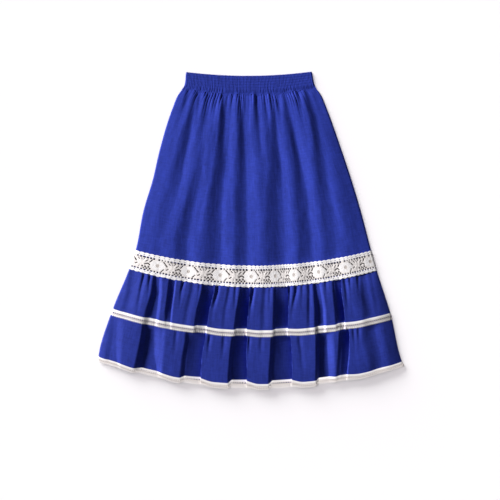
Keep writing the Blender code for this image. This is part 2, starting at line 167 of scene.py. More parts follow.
RUFFLE_1_FOLDS = (
    Fold((-307, -312, -325, -335), (13, 14, 16, 16), (4, 4, 3, 3), 3, 26),
    Fold((-277, -286, -294, -299), (8, 8, 9, 9), (4.3, 2.6, 0.3, 0), 0, 10),
    Fold((-261, -265, -270, -275), 7, (3.5, 0.6, 0, 0), 0, 9),
    Fold((-246, -247, -257, -265), (12, 14, 18, 22), (5.1, 7.4, 7.7, 7), (8, 9, 14, 16), 9),
    Fold((-205, -209, -215, -217), 9, (5.2, 7, 6.3, 2.2), 7, 6),
    Fold((-172, -180, -185, -190), 7, (5.9, 1.7, 0, 0), 0, 9),
    Fold((-146, -152, -164, -171), 12, (2.2, 1.8, 1.4, 0.6), 0, 15),
    Fold((-131, -135, -140, -145), 6, (3.1, 0.6, 0, 0), 0, 7),
    Fold((-120, -122, -133, -139), (8, 9, 10, 11), (9.5, 13.3, 15.5, 14.6), (18, 21, 21, 21), 4),
    Fold((-82, -87, -98, -104), (8, 8, 9, 9), (4.9, 4.8, 0.6, 0), 0, 8),
    Fold((-53, -56, -65, -70), (9, 9, 10, 10), (3, 2, 1.2, 0.6), 0, 13),
    Fold((-38, -40, -43, -45), 7, (3.8, 1.9, 0, 0), 0, 7),
    Fold((-21, -23, -30, -35), (8, 9, 10, 11), (9.5, 12.5, 15.5, 14.6), (11, 15, 19, 20), 4),
    Fold((8, 5, -1, -5), 8, (4.9, 6, 1.1, 0), 0, 8),
    Fold((42, 38, 34, 33), 12, (2.4, 2, 1.8, 1.2), 0, 15),
    Fold((52, 49, 47, 45), 6, (3.1, 1.6, 0, 0), 0, 7),
    Fold((65, 65, 66, 65), (8, 9, 10, 11), (9.5, 13.3, 15.5, 14.6), (23, 26, 26, 26), 4),
    Fold((101, 100, 98, 96), 6, (4.3, 2.9, 0.3, 0), 0, 7),
    Fold((120, 117, 107, 101), 8, (4.3, 3.9, 0.7, 0), 0, 10),
    Fold((135, 133, 130, 128), 7, (3.1, 1, 0, 0), 0, 8),
    Fold((151, 152, 151, 151), 9, (3.4, 2.6, 1.8, 1.1), 0, 11),
    Fold((166, 170, 174, 174), 11, (5.2, 6.1, 7.3, 7.7), (6, 10, 13, 14), 8),
    Fold((194, 195, 196, 197), 7, (3.1, 0.7, 0, 0), 0, 8),
    Fold((215, 218, 224, 228), (8, 9, 10, 11), (8.2, 11.2, 13.3, 12), (13, 12, 12, 12), 4),
    Fold((242, 247, 250, 254), 8, (3.3, 2.1, 0.4, 0), 0, 10),
    Fold((256, 258, 260, 262), 6, (2.8, 0.4, 0, 0), 0, 8),
    Fold((277, 279, 281, 283), 7, (3.1, 0.6, 0, 0), 0, 8),
    Fold((291, 296, 307, 310), (20, 21, 24, 24), (4, 4.3, 3.9, 3.1), 3, 25),
    Fold((312, 320, 328, 335), 10, (1.9, 1.5, 0.8, 0.3), 0, 11),
)
RUFFLE_2_HEIGHTS = (-252, -283, -320, -367)
RUFFLE_2_FOLDS = (
    Fold((-354, -358, -364, -369), (20, 20, 20, 18), (5.0, 5.0, 5.2, 5.2), (5, 8, 14, 26), (22, 20, 16, 6)),
    Fold(
        (-270, -273, -276, -281), (14, 16, 21, 30),
        (10.5, 12.0, 11.5, 9.8), (18, 20, 24, 38), (34, 32, 28, 14),
    ),
    Fold((-229, -231, -234, -237), 9, (1.6, 1.1, 0.4, 0), 0, 11),
    Fold((-191, -195, -200, -205), 8, (2.2, 1.1, 0.1, 0), 0, 10),
    Fold((-161, -159, -165, -169), (12, 14, 16, 18), (12.9, 15.2, 15.0, 13.0), (41, 36, 34, 35), 4),
    Fold((-104, -107, -112, -115), 7, (3.3, 2.2, 0.2, 0), 0, 8),
    Fold((-69, -70, -73, -76), 8, (2.7, 1.8, 0.2, 0), 0, 11),
    Fold((-42, -43, -46, -48), (8, 10, 12, 14), (14.6, 16.8, 17.2, 16.3), (28, 29, 29, 33), 4),
    Fold((-3, -4, -6, -8), 6, (3.3, 2.4, 0.2, 0), 0, 8),
    Fold((29, 27, 25, 23), 8, (2.7, 1.5, 0.2, 0), 0, 10),
    Fold((59, 59, 59, 57), (8, 10, 12, 14), (14.6, 16.8, 17.2, 15.5), (39, 39, 42, 45), 4),
    Fold((125, 126, 131, 135), 9, (1.9, 1.6, 0.8, 0.3), 0, 11),
    Fold((177, 177, 177, 177), 11, (10.1, 11.6, 11.6, 10.1), (17, 18, 20, 23), 21),
    Fold((234, 235, 234, 231), (8, 10, 12, 14), (12.9, 14.2, 11.2, 8), (16, 15, 16, 15), 4),
    Fold((265, 267, 270, 273), 7, (2.7, 0.8, 0, 0), 0, 9),
    Fold((278, 279, 281, 283), 7, (2.5, 0.4, 0, 0), 0, 9),
    Fold((315, 320, 330, 335), (34, 36, 36, 36), (5.9, 5.4, 4.4, 3.5), 4, 26),
)

# The lace spreads the cloth under it, which takes away these parts of the valleys' depth.
LACE_EASE = 0.55
TRIM_EASE = 0.48
HEM_SPREAD = 0.75

# How far a ridge hangs over the floor on its left. It does so wholly where the rise between them is
# narrower than the first of the two lip rises, and not at all past the second. There the floor also slopes
# down towards the ridge, by a part of its depth.
OVERHANG = 0.0065
LIP_RISES = (0.0042, 0.0080)
FLOOR_SLOPE = 0.66
NARROWEST_FLOOR = 0.0001
# The front's normal comes from points this far away across the skirt and down it. A wall that faces
# left is thickened as if its normal leant no more to the left than this part of its height.
NORMAL_REACH = (0.0012, 0.0008)
STEEPEST_LEFT = 0.25

# Long soft creases of the body: where each starts and ends, how high it is, and half its width. One
# with a height below 0 is a trough.
Crease = namedtuple("Crease", "share_0 down_0 share_1 down_1 height half_width")
BODY_CREASES = (
    Crease(0.150, 0.120, 0.140, 0.330, -0.0007, 0.007),
    Crease(0.255, 0.110, 0.262, 0.300, 0.0006, 0.008),
    Crease(0.262, 0.300, 0.250, 0.480, -0.0008, 0.009),
    Crease(0.380, 0.080, 0.376, 0.260, -0.0006, 0.006),
    Crease(0.375, 0.280, 0.384, 0.470, 0.0007, 0.010),
    Crease(0.482, 0.090, 0.488, 0.300, 0.0006, 0.007),
    Crease(0.560, 0.080, 0.566, 0.220, -0.0008, 0.007),
    Crease(0.520, 0.330, 0.514, 0.480, -0.0007, 0.010),
    Crease(0.664, 0.090, 0.662, 0.280, -0.0006, 0.007),
    Crease(0.655, 0.300, 0.640, 0.480, 0.0006, 0.009),
    Crease(0.770, 0.100, 0.765, 0.300, -0.0009, 0.008),
    Crease(0.760, 0.320, 0.758, 0.480, -0.0006, 0.008),
    Crease(0.888, 0.240, 0.884, 0.470, -0.0008, 0.009),
)

# At a side seam the front turns over a small round edge, then rises gently to its full loft.
SIDE_EDGE = 0.0035
SIDE_EDGE_SHARE = 0.25
SIDE_SLOPE = 0.085
SIDE_WRAP = 0.0020
LACE_WRAP = SIDE_WRAP / MM

# Towards the hem a ridge reaches further down than a valley, by a share of the height between them. What
# keeps the middle part of the loft stays in place. The edge follows a softer form of the folds, whose rises
# are wider.
Swing = namedtuple("Swing", "down share")
SWINGS = (
    Swing(0.400, 0.00),
    Swing(0.550, 0.08),
    Swing(0.663, 0.20),
    Swing(0.730, 0.36),
    Swing(0.813, 0.60),
)
SWING_MIDDLE = 0.62
SOFT_RISE = 0.034

# The back rests flat, over the lace sewn to its outside. Its low folds rise into the hollows that the
# front's ridges leave.
BACK_FOLD_SHARES = (0.146, 0.265, 0.382, 0.512, 0.668, 0.782, 0.880)
BACK_FOLD_HALF_WIDTH = 0.016
BACK_FOLD_RISE = 0.45
BACK_TRIM_LIFT = LACE + SEAM_GAP
BACK_TRIM_EASE = 0.012
SIDE_LIFT_WIDTH = 0.012
BACK_GATHER_PITCH = 0.0125

# The waistband is one flattened ring, shirred all round by rows of elastic stitching.
WAISTBAND_DEPTH = 0.0058
WAISTBAND_WALL = 0.0026
WAISTBAND_EDGE = 0.0016
WAISTBAND_ROUND = 0.66
WAIST_SEAM_LIFT = COTTON + 0.0002
WAIST_SEAM_BEND = 0.0024
SHIRRS = 90
SHIRR_HEIGHT = 0.0008
SHIRR_ROWS = (0.0040, 0.0110, 0.0180, 0.0250, 0.0330)
SHIRR_ROW_DEPTH = 0.0007
SHIRR_ROW_HALF_WIDTH = 0.0011

# Below the waistband its shirrs run out over a short reach, between short gathers. The seam waves up and
# down with the folds.
SHIRR_REACH = 0.0080
GATHERS = 38
GATHER_DEPTH = 0.0038
GATHER_REACH = 0.018
WAIST_WAVE = 0.0022
WAIST_WAVE_REACH = 0.0065


# Shapes


def smooth_through(xs, ys, x):
    """A cubic through the points (xs, ys), whose slope at each point is that of its neighbours."""
    xs, ys = np.asarray(xs, float), np.asarray(ys, float)
    slopes = np.gradient(ys, xs)
    left = np.clip(np.searchsorted(xs, x, side="right") - 1, 0, len(xs) - 2)
    step = xs[left + 1] - xs[left]
    t = (x - xs[left]) / step
    return (
        ys[left] * (1 + 2 * t) * (1 - t) ** 2
        + ys[left + 1] * t**2 * (3 - 2 * t)
        + step * slopes[left] * t * (1 - t) ** 2
        - step * slopes[left + 1] * t**2 * (1 - t)
    )


def ease(low, high, value):
    """0 before low, 1 after high, and a smooth step between."""
    t = np.clip((value - low) / (high - low), 0, 1)
    return t * t * (3 - 2 * t)


def smooth_noise(across, along, cells_across, cells_along, seed):
    """Random heights from -1 to 1 on a lattice over the unit square, and smooth steps between them."""
    heights = np.random.default_rng(seed).uniform(-1, 1, (cells_along + 2, cells_across + 2))
    x = np.clip(across, 0, 1) * cells_across
    y = np.clip(along, 0, 1) * cells_along
    column, row = x.astype(int), y.astype(int)
    x, y = ease(0, 1, x - column), ease(0, 1, y - row)
    upper = heights[row, column] * (1 - x) + heights[row, column + 1] * x
    lower = heights[row + 1, column] * (1 - x) + heights[row + 1, column + 1] * x
    return upper * (1 - y) + lower * y


def outline(down, column):
    return smooth_through([s.down for s in SECTIONS], [getattr(s, column) for s in SECTIONS], down)


def width(down):
    return outline(down, "right_x") - outline(down, "left_x")


def plan(share, down):
    """Where a point lies seen from above. Each row across the skirt sags in the middle along a parabola."""
    x = outline(down, "left_x") + width(down) * share
    left_y, right_y = outline(down, "left_y"), outline(down, "right_y")
    sag = (left_y + right_y) / 2 - (WAIST_TOP_Y - down)
    y = left_y + (right_y - left_y) * share - 4 * sag * share * (1 - share)
    return x, y


def loft(down):
    return smooth_through([p.down for p in LOFTS], [p.height for p in LOFTS], down)


def folded(folds, heights, highest, x, y, soft=False):
    """Two arrays: the part of the loft that the folds leave at each point, 1 on a ridge and down to 0 in a
    deep valley, and how far a floor's right end is pushed under the ridge beside it. A valley falls along a
    smooth step on its left, has a floor, and rises along a smooth step of t to the power 0.8 on its right.
    Under a lip the floor slopes on down to the right, and its last three fifths are pushed. The soft form
    has level floors and long rises."""
    kept, under = np.ones(x.shape), np.zeros(x.shape)
    for fold in folds:
        low, fall, drop, floor, rise = (
            np.interp(y, np.array(heights[::-1]) * MM, np.broadcast_to(measure, len(heights))[::-1] * MM)
            for measure in fold
        )
        floor = floor + NARROWEST_FLOOR
        lip = 1 - ease(*LIP_RISES, rise)
        if soft:
            rise, lip = rise + SOFT_RISE, 0
        down_left = ease(0, 1, (x - low + fall) / fall)
        up_right = 1 - ease(0, 1, np.clip((x - low - floor) / rise, 0, 1) ** 0.8)
        down_left = down_left - FLOOR_SLOPE * lip * down_left * (1 - np.clip((x - low) / floor, 0, 1))
        depth = np.minimum(drop / highest, 1)
        kept = kept * (1 - depth * down_left * up_right)
        pushed = ease(0, 1, (x - low - floor + 0.6 * floor) / (0.6 * floor))
        under = under + OVERHANG * lip * depth * pushed * up_right**0.5
    return kept, under


def creases(rows, share, down):
    """Soft ridges and troughs along straight lines: a bell across each, faded over a third at both ends."""
    total = np.zeros(np.broadcast(share, down).shape)
    for crease in rows:
        t = (down - crease.down_0) / (crease.down_1 - crease.down_0)
        centre = crease.share_0 + (crease.share_1 - crease.share_0) * t
        across = (share - centre) * width(down) / crease.half_width
        total = total + crease.height * np.exp(-(across**2)) * ease(0, 0.33, t) * ease(0, 0.33, 1 - t)
    return total


def side_rise(share, down):
    """0 at a side seam and 1 on the panel: a quarter circle over the seam's edge, then an easing slope."""
    inward = np.minimum(share, 1 - share) * width(down)
    edge = np.sqrt(1 - (1 - np.clip(inward / SIDE_EDGE, 0, 1)) ** 2)
    slope = 1 - (1 - np.clip(inward / SIDE_SLOPE, 0, 1)) ** 2
    return SIDE_EDGE_SHARE * edge + (1 - SIDE_EDGE_SHARE) * slope


def wrinkles(share, down):
    """Faint unevenness of handled cotton, longer down the skirt than across it."""
    along = down / HEM_TRIM_BOTTOM
    return (
        0.00030 * smooth_noise(share, along, 22, 9, 1)
        + 0.00016 * smooth_noise(share, along, 61, 24, 2)
        + 0.00006 * smooth_noise(share, along, 160, 70, 3)
    )


def shirring(share, along):
    """1 in the narrow grooves between the waistband's pleats and 0 on them. The grooves wander a little."""
    drift = 0.22 * smooth_noise(share, along, 30, 2, 11) + 0.12 * smooth_noise(share, along, 90, 5, 12)
    return np.exp(-((np.sin(np.pi * (SHIRRS * share + drift)) / 0.42) ** 2))


def waist_folds(share, down):
    """Two arrays: what the folds leave of the loft just under the waistband, and how near to the seam
    each point lies."""
    share, down = np.broadcast_arrays(share, down)
    below = np.full(share.shape, WAISTBAND_BOTTOM + 0.006)
    x, y = plan(share, below)
    kept, _ = folded(BODY_FOLDS, BODY_HEIGHTS, loft(below), x, y)
    return kept, np.exp(-(((down - WAISTBAND_BOTTOM) / WAIST_WAVE_REACH) ** 2))


def waist_wave(share, down):
    """How far the ridges of the folds reach up into the waistband, and their valleys hang down from it."""
    kept, near = waist_folds(share, down)
    return WAIST_WAVE * (kept - 0.5) * near


def waist_gathers(share, down):
    """How deep the short gathers at the waist press in: narrow valleys at uneven distances, deepest on the
    seam, which fade faster into the waistband than below it."""
    drift = 0.8 * smooth_noise(share, np.zeros_like(share), 17, 1, 21)
    valley = np.exp(-((np.sin(np.pi * (GATHERS * share + drift)) / 0.44) ** 2))
    uneven = 0.7 + 0.6 * smooth_noise(share, np.zeros_like(share), 23, 1, 22)
    away = (down - WAISTBAND_BOTTOM) / GATHER_REACH
    return GATHER_DEPTH * valley * uneven * np.where(away > 0, np.exp(-away), np.exp(2.4 * away))


def tiers(body, ruffle_1, ruffle_2, down):
    """The body's value down to the lace's lower edge, the first ruffle's from there to its trim, and the
    second ruffle's below it."""
    into_1 = ease(LACE_BOTTOM - 0.005, LACE_BOTTOM + 0.005, down)
    into_2 = ease(RUFFLE_TRIM_BOTTOM - 0.006, RUFFLE_TRIM_BOTTOM + 0.004, down)
    return (body * (1 - into_1) + ruffle_1 * into_1) * (1 - into_2) + ruffle_2 * into_2


def front_form(share, down):
    """How high the front stands over its base, how far its valleys' floors are pushed under the ridges, and
    how far the folds swing it down the skirt. The folds change over at the lace and at the ruffle
    seam."""
    share, down = np.broadcast_arrays(share, down)
    x, y = plan(share, down)
    highest = loft(down)
    body, _ = folded(BODY_FOLDS, BODY_HEIGHTS, highest, x, y)
    ruffle_1, under_1 = folded(RUFFLE_1_FOLDS, RUFFLE_1_HEIGHTS, highest, x, y)
    ruffle_2, under_2 = folded(RUFFLE_2_FOLDS, RUFFLE_2_HEIGHTS, highest, x, y)
    soft_1, _ = folded(RUFFLE_1_FOLDS, RUFFLE_1_HEIGHTS, highest, x, y, soft=True)
    soft_2, _ = folded(RUFFLE_2_FOLDS, RUFFLE_2_HEIGHTS, highest, x, y, soft=True)
    body = 1 - (1 - body) * (1 - LACE_EASE * ease(LACE_TOP - 0.012, LACE_TOP + 0.008, down))
    on_trim = ease(RUFFLE_TRIM_TOP - 0.007, RUFFLE_TRIM_TOP + 0.001, down)
    on_trim = TRIM_EASE * on_trim * (1 - ease(RUFFLE_TRIM_BOTTOM - 0.001, RUFFLE_TRIM_BOTTOM + 0.014, down))
    spread = HEM_SPREAD * ease(HEM_TRIM_TOP - 0.002, HEM_TRIM_BOTTOM - 0.004, down)
    kept = 1 - (1 - tiers(body, ruffle_1, ruffle_2, down)) * (1 - on_trim) * (1 - spread)
    under = tiers(0, under_1, under_2 * (1 - spread), down) * (1 - on_trim)
    swing = np.interp(down, [s.down for s in SWINGS], [s.share for s in SWINGS])
    swung = highest * (tiers(body, soft_1, soft_2, down) - SWING_MIDDLE) * swing
    below = np.maximum(down - WAISTBAND_BOTTOM, 0)
    pleats = SHIRR_HEIGHT * 1.3 * shirring(share, np.ones_like(share)) * np.exp(-below / SHIRR_REACH)
    pleats = pleats + waist_gathers(share, down)
    bent = creases(BODY_CREASES, share, down) + wrinkles(share, down) - pleats * (down < LACE_TOP)
    rise = side_rise(share, down)
    return rise * np.maximum(highest * kept + bent, 0), under, rise * swung


def front_skin(share, down, pushed=1):
    """The inner face of the front. Its valleys' floors are pushed under the ridges, or left in place if
    pushed is 0."""
    x, y = plan(share, down)
    height, under, swung = front_form(share, down)
    y = y - swung + waist_wave(share, down)
    return np.stack(np.broadcast_arrays(x + pushed * under, y, FRONT_BASE + height), axis=-1)


def front_surface(share, down, away):
    """The front's inner face moved out along its normal, which comes from points a short way to each side.
    Past a side seam, where the share leaves 0 to 1, it turns straight down towards the back. On the steep
    walls that face left the normal is held back, which keeps the ridges' lips thin."""
    inside = np.clip(share, 0, 1)
    reach_across, reach_down = NORMAL_REACH
    right, left = np.minimum(inside + reach_across, 1), np.maximum(inside - reach_across, 0)
    across = front_skin(right, down, 0) - front_skin(left, down, 0)
    upward = front_skin(inside, down - reach_down, 0) - front_skin(inside, down + reach_down, 0)
    normal = np.cross(across, upward)
    normal[..., 0] = np.maximum(normal[..., 0], -STEEPEST_LEFT * normal[..., 2])
    normal = normal / np.linalg.norm(normal, axis=-1, keepdims=True)
    surface = front_skin(inside, down) + np.asarray(away)[..., None] * normal
    surface[..., 2] -= np.abs(share - inside) * width(down)
    return surface


def back_lift(share, down):
    """How high the outer face of the back stands over the surface it rests on."""
    trims = (
        (LACE_TOP, LACE_BOTTOM),
        (RUFFLE_TRIM_TOP, RUFFLE_TRIM_BOTTOM),
        (HEM_TRIM_TOP, HEM_TRIM_BOTTOM),
    )
    over_trim = sum(
        ease(top - BACK_TRIM_EASE, top - MM, down) * (1 - ease(bottom + MM, bottom + BACK_TRIM_EASE, down))
        for top, bottom in trims
    )
    inward = np.minimum(share, 1 - share) * width(down) / SIDE_LIFT_WIDTH
    at_side = (1 - np.clip(inward, 0, 1)) ** 2
    fold = 0
    for centre in BACK_FOLD_SHARES:
        away = np.clip(np.abs(share - centre) * width(down) / BACK_FOLD_HALF_WIDTH, 0, 1)
        fold = fold + (1 - away**2) ** 2
    height = loft(down) * side_rise(share, down)
    return BACK_TRIM_LIFT * np.maximum(over_trim, at_side) + BACK_FOLD_RISE * height * np.minimum(fold, 1)


def back_surface(share, down, above):
    """The outer face of the back, with small gathers pressed into it below each seam, moved up by above."""
    x, y = plan(share, down)
    lift = back_lift(share, down)
    for seam in (WAISTBAND_BOTTOM, LACE_BOTTOM, RUFFLE_TRIM_BOTTOM):
        below = np.maximum(down - seam, 0)
        count = int(width(np.array(seam)) / BACK_GATHER_PITCH)
        uneven = smooth_noise(share, np.zeros_like(share), count, 1, int(seam * 10000))
        press = ease(0, 0.006, below) * np.exp(-below / 0.022)
        ripple = 0.5 + 0.5 * np.cos(2 * np.pi * (count * share + 0.6 * uneven))
        lift = lift + 0.0011 * press * ripple**2 * (1 + 0.5 * uneven) * side_rise(share, down)
    return np.stack(np.broadcast_arrays(x, y, lift + above), axis=-1)


# Meshes

# Edges where faces meet at more than this many degrees stay sharp.
SHARP_ANGLE = 50
# Grid points this near a gap's edge slide onto it, by shares of a grid cell, as if the field sloped at
# least this much.
SLIDE_REACH = 0.62
LEAST_SLOPE = 0.5


def add_mesh(name, points, quads, triangles=(), uv=None, tone=None):
    """An object at the origin, made from arrays of points, quads and triangles. Each point may have a UV
    pair and a tone."""
    quads = np.asarray(quads, np.int32).reshape(-1, 4)
    triangles = np.asarray(triangles, np.int32).reshape(-1, 3)
    mesh = bpy.data.meshes.new(name)
    mesh.vertices.add(len(points))
    mesh.vertices.foreach_set("co", np.asarray(points, np.float32).ravel())
    corners = np.concatenate([quads.ravel(), triangles.ravel()]).astype(np.int32)
    starts = np.concatenate([4 * np.arange(len(quads)), 4 * len(quads) + 3 * np.arange(len(triangles))])
    mesh.loops.add(len(corners))
    mesh.loops.foreach_set("vertex_index", corners)
    mesh.polygons.add(len(starts))
    mesh.polygons.foreach_set("loop_start", starts.astype(np.int32))
    mesh.update(calc_edges=True)
    if uv is not None:
        mesh.uv_layers.new(name="UVMap").uv.foreach_set("vector", np.asarray(uv, np.float32)[corners].ravel())
    if tone is not None:
        tones = mesh.attributes.new("tone", "FLOAT", "POINT")
        tones.data.foreach_set("value", np.asarray(tone, np.float32).ravel())
    mesh.validate()
    mesh.shade_smooth()
    mesh.set_sharp_from_angle(angle=np.radians(SHARP_ANGLE))
    made = bpy.data.objects.new(name, mesh)
    bpy.context.scene.collection.objects.link(made)
    return made


def grid_quads(rows, columns, ring=False):
    """The quads of a grid of rows running down and columns running right, which face the viewer."""
    index = np.arange(rows * columns).reshape(rows, columns)
    if ring:
        index = np.concatenate([index, index[:, :1]], axis=1)
    corners = (index[:-1, :-1], index[1:, :-1], index[1:, 1:], index[:-1, 1:])
    return np.stack(corners, axis=-1).reshape(-1, 4)


def rim_quads(edge, other):
    """Quads between a run of points and the run of points on the other face of the wall."""
    return np.stack([edge[1:], edge[:-1], other[:-1], other[1:]], axis=-1)


def shell(name, upper, lower, uv, ring=False):
    """A closed wall between two grids of points of the same shape, the upper one facing up."""
    rows, columns = upper.shape[:2]
    quads = grid_quads(rows, columns, ring)
    count = rows * columns
    index = np.arange(count).reshape(rows, columns)
    if ring:
        index = np.concatenate([index, index[:, :1]], axis=1)
    rims = [rim_quads(index[0], index[0] + count), rim_quads(index[-1][::-1], index[-1][::-1] + count)]
    if not ring:
        left, right = index[:, 0], index[:, -1]
        rims += [rim_quads(left[::-1], left[::-1] + count), rim_quads(right, right + count)]
    points = np.concatenate([upper.reshape(-1, 3), lower.reshape(-1, 3)])
    faces = np.concatenate([quads, quads[:, ::-1] + count, *rims])
    return add_mesh(name, points, faces, uv=np.concatenate([uv.reshape(-1, 2)] * 2))


def cut_sheet(name, s, t, field, place, tone):
    """A sheet with holes. s and t are the grid's distances in millimetres. The field is how far inside the
    thread each grid point lies, below 0 in a gap. Grid points near a gap's edge slide onto it, down the
    slope of the field, and cells with a corner left in a gap are dropped, or halved if they have just one.
    place gives the two faces' points from the moved s and t and the field there."""
    rows, columns = s.shape
    step = abs(s[0, 1] - s[0, 0])
    slope_t, slope_s = np.gradient(field, t[:, 0], s[0])
    steep = np.maximum(slope_s**2 + slope_t**2, LEAST_SLOPE**2)
    near = np.abs(field) < SLIDE_REACH * step
    slide = np.where(near, -field, 0) / steep
    s, t = s + slide * slope_s, t + slide * slope_t
    solid = near | (field > 0)
    upper, lower = place(s, t, np.where(near, 0, np.maximum(field, 0)))
    quads = grid_quads(rows, columns)
    kept = solid.ravel()[quads]
    whole = quads[kept.all(axis=1)]
    halved = quads[kept.sum(axis=1) == 3]
    missing = np.argmin(kept[kept.sum(axis=1) == 3], axis=1)
    halves = np.stack([halved[np.arange(len(halved)), (missing + k) % 4] for k in (1, 2, 3)], axis=-1)
    edges = np.concatenate(
        [np.stack([faces, np.roll(faces, -1, axis=1)], axis=-1).reshape(-1, 2) for faces in (whole, halves)]
    )
    ahead = edges[:, 0].astype(np.int64) * rows * columns + edges[:, 1]
    behind = edges[:, 1].astype(np.int64) * rows * columns + edges[:, 0]
    border = edges[~np.isin(ahead, behind)]
    count = rows * columns
    walls = np.stack([border[:, 1], border[:, 0], border[:, 0] + count, border[:, 1] + count], axis=-1)
    quads = np.concatenate([whole, whole[:, ::-1] + count, walls])
    triangles = np.concatenate([halves, halves[:, ::-1] + count])
    used = np.unique(np.concatenate([quads.ravel(), triangles.ravel()]))
    renumber = np.zeros(2 * count, np.int64)
    renumber[used] = np.arange(len(used))
    points = np.concatenate([upper.reshape(-1, 3), lower.reshape(-1, 3)])[used]
    uv = np.concatenate([np.stack([s, t], axis=-1).reshape(-1, 2) * MM] * 2)[used]
    tones = np.concatenate([tone.ravel()] * 2)[used]
    return add_mesh(name, points, renumber[quads], renumber[triangles], uv=uv, tone=tones)


def stitches(name, path, normal, length, gap, radius):
    """Running stitches along a path: each a three-sided thread that dips into the cloth at both ends, on
    four rings of points."""
    along = np.concatenate([[0], np.cumsum(np.linalg.norm(np.diff(path, axis=0), axis=1))])
    starts = np.arange(gap, along[-1] - length, length + gap)
    places = starts[:, None] + length * np.array([0.0, 0.2, 0.8, 1.0])
    centre = np.stack([np.interp(places, along, path[:, k]) for k in range(3)], axis=-1)
    up = np.stack([np.interp(places, along, normal[:, k]) for k in range(3)], axis=-1)
    up = up / np.linalg.norm(up, axis=-1, keepdims=True)
    ahead = centre[:, -1:] - centre[:, :1]
    ahead = ahead / np.linalg.norm(ahead, axis=-1, keepdims=True)
    side = np.cross(ahead, up)
    rise = np.array([-0.6, 1.0, 1.0, -0.6])[None, :, None] * radius
    angle = np.arange(3) * 2 * np.pi / 3 + np.pi / 2
    ring = (np.cos(angle)[:, None] * side[:, :, None] + np.sin(angle)[:, None] * up[:, :, None]) * radius
    points = (centre + rise * up)[:, :, None] + ring
    base = np.arange(len(starts))[:, None] * 12
    tube = []
    for r in range(3):
        for k in range(3):
            following = (k + 1) % 3
            tube.append([3 * r + k, 3 * r + following, 3 * r + 3 + following, 3 * r + 3 + k])
    quads = (base[:, None] + np.array(tube)[None]).reshape(-1, 4)
    ends = (base[:, None] + np.array([[2, 1, 0], [9, 10, 11]])[None]).reshape(-1, 3)
    return add_mesh(name, points.reshape(-1, 3), quads, ends)


# Materials


def new_material(name, roughness):
    material = bpy.data.materials.new(name)
    material.use_nodes = True
    shader = material.node_tree.nodes["Principled BSDF"]
    shader.inputs["Roughness"].default_value = roughness
    shader.inputs["Metallic"].default_value = 0.0
    return material, shader


def add_node(material, kind, **inputs):
    """A shader node, with its inputs set by name where double underscores stand for spaces."""
    node = material.node_tree.nodes.new(kind)
    for key, value in inputs.items():
        node.inputs[key.replace("__", " ")].default_value = value
    return node


def ramp(material, low, high, low_colour, high_colour):
    node = material.node_tree.nodes.new("ShaderNodeValToRGB")
    node.color_ramp.elements[0].position = low
    node.color_ramp.elements[1].position = high
    node.color_ramp.elements[0].color = low_colour
    node.color_ramp.elements[1].color = high_colour
    return node


def stretched(material, source, scale):
    """The source coordinates times a scale for each axis."""
    node = add_node(material, "ShaderNodeMapping", Scale=scale)
    material.node_tree.links.new(source, node.inputs["Vector"])
    return node.outputs["Vector"]


def arithmetic(material, operation, *values):
    """The result of a math node on other nodes' outputs and plain numbers."""
    node = add_node(material, "ShaderNodeMath")
    node.operation = operation
    for socket, value in zip(node.inputs, values):
        if isinstance(value, float):
            socket.default_value = value
        else:
            material.node_tree.links.new(value, socket)
    return node.outputs[0]


def bumped(material, shader, height, strength, distance):
    """Fine relief from a height, in the shader's normal."""
    bump = add_node(material, "ShaderNodeBump", Strength=strength, Distance=distance)
    material.node_tree.links.new(height, bump.inputs["Height"])
    material.node_tree.links.new(bump.outputs["Normal"], shader.inputs["Normal"])


def cotton_material(name, deep, light):
    """Plain woven cotton: a fine over and under weave, slubs along both threads and a soft uneven dye."""
    material, shader = new_material(name, 0.82)
    link = material.node_tree.links.new
    place = add_node(material, "ShaderNodeTexCoord").outputs["UV"]

    def threads_across(direction):
        wave = add_node(
            material, "ShaderNodeTexWave", Scale=520.0, Distortion=1.2, Detail=1.0, Detail__Scale=0.6
        )
        wave.bands_direction = direction
        link(place, wave.inputs["Vector"])
        return wave.outputs["Fac"]

    def streaks(scale, detail, roughness):
        noise = add_node(material, "ShaderNodeTexNoise", Scale=1.0, Detail=detail, Roughness=roughness)
        link(stretched(material, place, scale), noise.inputs["Vector"])
        return noise.outputs["Fac"]

    warp_slub = streaks((250.0, 34.0, 1.0), 3.0, 0.6)
    weft_slub = streaks((44.0, 230.0, 1.0), 3.0, 0.6)
    dye = streaks((60.0, 16.0, 1.0), 4.0, 0.55)
    crossing = arithmetic(material, "MULTIPLY", threads_across("X"), threads_across("Y"))
    bumped(material, shader, arithmetic(material, "ADD", crossing, warp_slub), 0.13, 0.0003)
    slubs = arithmetic(material, "ADD", warp_slub, weft_slub)
    patches = arithmetic(material, "MULTIPLY", dye, 0.25)
    tint = ramp(material, 0.34, 0.66, deep, light)
    link(arithmetic(material, "MULTIPLY_ADD", slubs, 0.375, patches), tint.inputs["Fac"])
    link(tint.outputs["Color"], shader.inputs["Base Color"])
    shader.inputs["Sheen Weight"].default_value = 0.05
    shader.inputs["Sheen Roughness"].default_value = 0.45
    shader.inputs["Specular IOR Level"].default_value = 0.25
    return material


